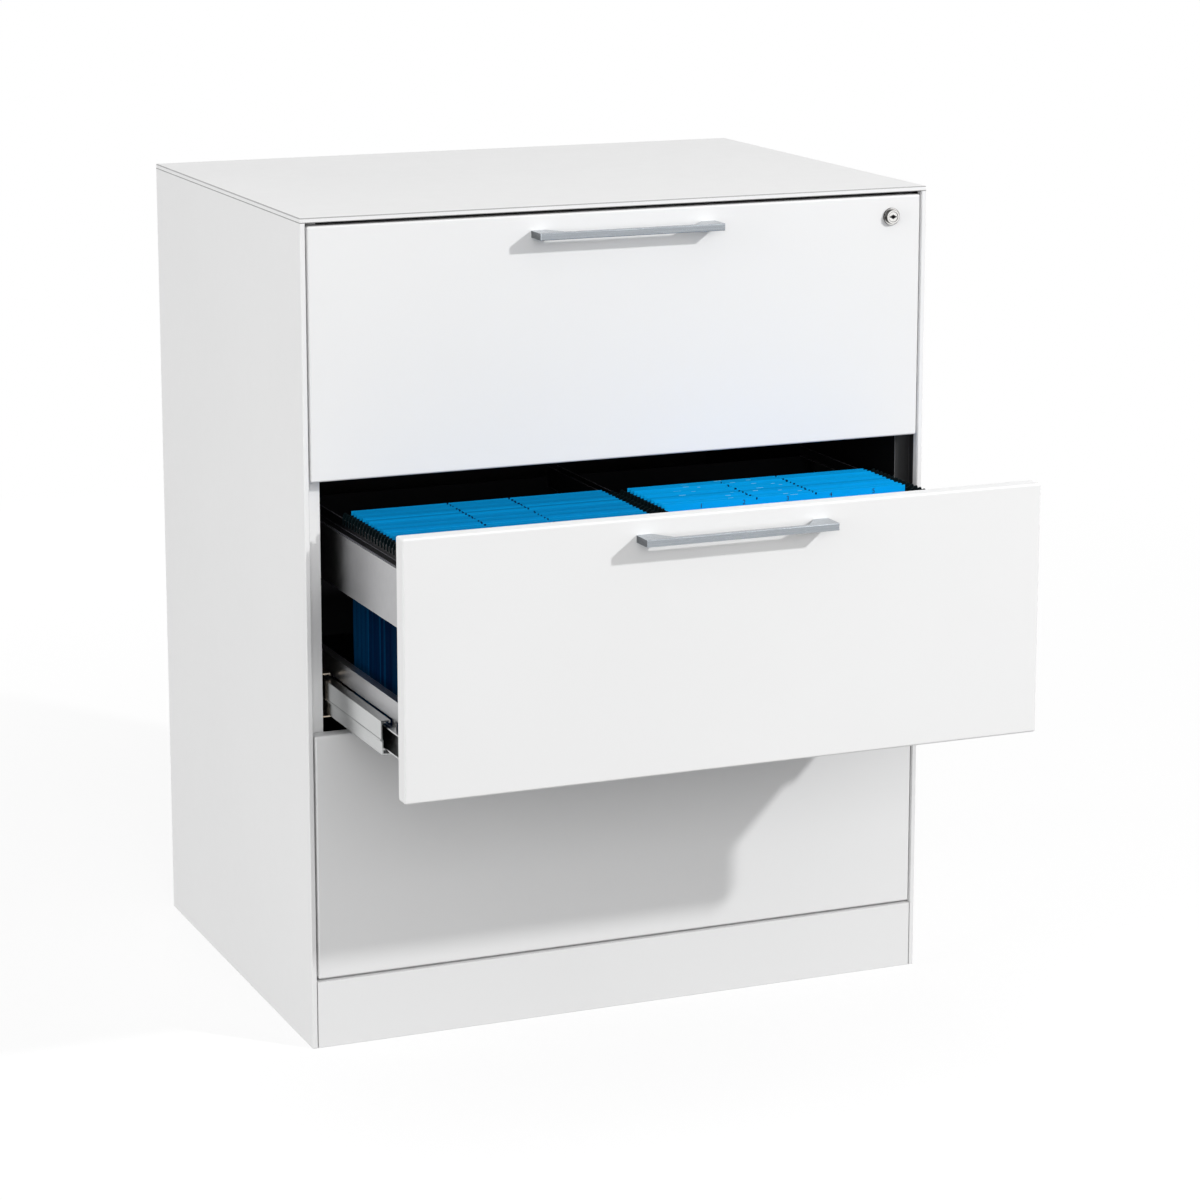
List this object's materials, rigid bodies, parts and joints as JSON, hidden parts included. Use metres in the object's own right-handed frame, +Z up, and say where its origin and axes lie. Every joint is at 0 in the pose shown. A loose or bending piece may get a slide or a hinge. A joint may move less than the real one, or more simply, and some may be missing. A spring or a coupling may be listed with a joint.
{
  "type": "filing cabinet",
  "caption": "White steel filing cabinet with wide sliding drawers for hanging files side by side, bow handles, telescopic slides and a cylinder lock; one drawer stands open with files",
  "frame": {"origin": "on the floor at the middle of the carcass footprint", "axes": "+Z up, fronts and open drawer towards -Y, +X to the right seen from the front"},
  "size_m": [0.8, 0.932, 0.992],
  "materials": {
    "white_coat": "satin white powder coat",
    "black_coat": "semi-gloss black coat",
    "satin_aluminium": "satin anodised",
    "grey_metal": "smooth galvanised sheet",
    "zinc_steel": "zinc plated",
    "ball_steel": "polished, greased",
    "lock_metal": "satin nickel",
    "foot_plastic": "moulded black",
    "blue_board": "matt dyed board"
  },
  "bodies": {
    "cabinet": {"back_panel": "white_coat", "base_frame": "black_coat", "bottom_pan": "black_coat", "levelling_feet": "foot_plastic", "liner_left": "black_coat", "liner_right": "black_coat", "lock_channel": "black_coat", "lock_cover": "black_coat", "lock_guides": "zinc_steel", "plinth": "white_coat", "side_panel_left": "white_coat", "side_panel_right": "white_coat", "slide_outer_bottom": "zinc_steel", "slide_outer_middle": "zinc_steel", "slide_outer_top": "zinc_steel", "top_panel": "white_coat"},
    "drawer_bottom": {"catch_lug_bottom": "zinc_steel", "drawer_back_bottom": "black_coat", "front_bottom": "white_coat", "handle_bottom": "satin_aluminium", "hanger_rails_bottom": "black_coat", "inner_front_bottom": "white_coat", "lower_rails_bottom": "grey_metal", "slide_inner_bottom": "zinc_steel", "upper_bands_bottom": "grey_metal"},
    "drawer_middle": {"catch_lug_middle": "zinc_steel", "drawer_back_middle": "black_coat", "file_hooks_left": "black_coat", "file_hooks_right": "black_coat", "files_left": "blue_board", "files_right": "blue_board", "front_middle": "white_coat", "handle_middle": "satin_aluminium", "hanger_rails_middle": "black_coat", "inner_front_middle": "white_coat", "lower_rails_middle": "grey_metal", "slide_inner_middle": "zinc_steel", "upper_bands_middle": "grey_metal"},
    "drawer_top": {"catch_lug_top": "zinc_steel", "drawer_back_top": "black_coat", "front_top": "white_coat", "handle_top": "satin_aluminium", "hanger_rails_top": "black_coat", "inner_front_top": "white_coat", "lock_housing": "lock_metal", "lower_rails_top": "grey_metal", "slide_inner_top": "zinc_steel", "upper_bands_top": "grey_metal"},
    "slides_bottom": {"ball_rows_bottom": "ball_steel", "slide_middle_bottom": "zinc_steel"},
    "slides_middle": {"ball_rows_middle": "ball_steel", "slide_middle_middle": "zinc_steel"},
    "slides_top": {"ball_rows_top": "ball_steel", "slide_middle_top": "zinc_steel"},
    "lock_cylinder": {"lock_cam": "zinc_steel", "lock_plug": "lock_metal"},
    "lock_bar": {"lock_arm": "zinc_steel", "lock_bar": "zinc_steel", "lock_catches": "zinc_steel"}
  },
  "joints": [
    {"name": "bottom_drawer_slide", "type": "slide", "parent": "cabinet", "child": "drawer_bottom", "axis": [0, -1, 0], "range_m": [0, 0.5]},
    {"name": "bottom_slide_member", "type": "slide", "parent": "cabinet", "child": "slides_bottom", "axis": [0, -1, 0], "range_m": [0, 0.325]},
    {"name": "middle_drawer_slide", "type": "slide", "parent": "cabinet", "child": "drawer_middle", "axis": [0, -1, 0], "range_m": [-0.312, 0.188]},
    {"name": "middle_slide_member", "type": "slide", "parent": "cabinet", "child": "slides_middle", "axis": [0, -1, 0], "range_m": [-0.2028, 0.1222]},
    {"name": "top_drawer_slide", "type": "slide", "parent": "cabinet", "child": "drawer_top", "axis": [0, -1, 0], "range_m": [0, 0.5]},
    {"name": "top_slide_member", "type": "slide", "parent": "cabinet", "child": "slides_top", "axis": [0, -1, 0], "range_m": [0, 0.325]},
    {"name": "lock_turn", "type": "hinge", "parent": "drawer_top", "child": "lock_cylinder", "pos_m": [0.352, -0.295, 0.957], "axis": [0, -1, 0], "range_deg": [0, 90]},
    {"name": "lock_lift", "type": "slide", "parent": "cabinet", "child": "lock_bar", "axis": [0, 0, 1], "range_m": [0, 0.0099]}
  ],
  "couplings": [
    {"joint": "bottom_slide_member", "follows": "bottom_drawer_slide", "ratio": 0.65},
    {"joint": "middle_slide_member", "follows": "middle_drawer_slide", "ratio": 0.65},
    {"joint": "top_slide_member", "follows": "top_drawer_slide", "ratio": 0.65},
    {"joint": "lock_turn", "follows": "lock_lift", "rad_per_m": 158.66}
  ]
}
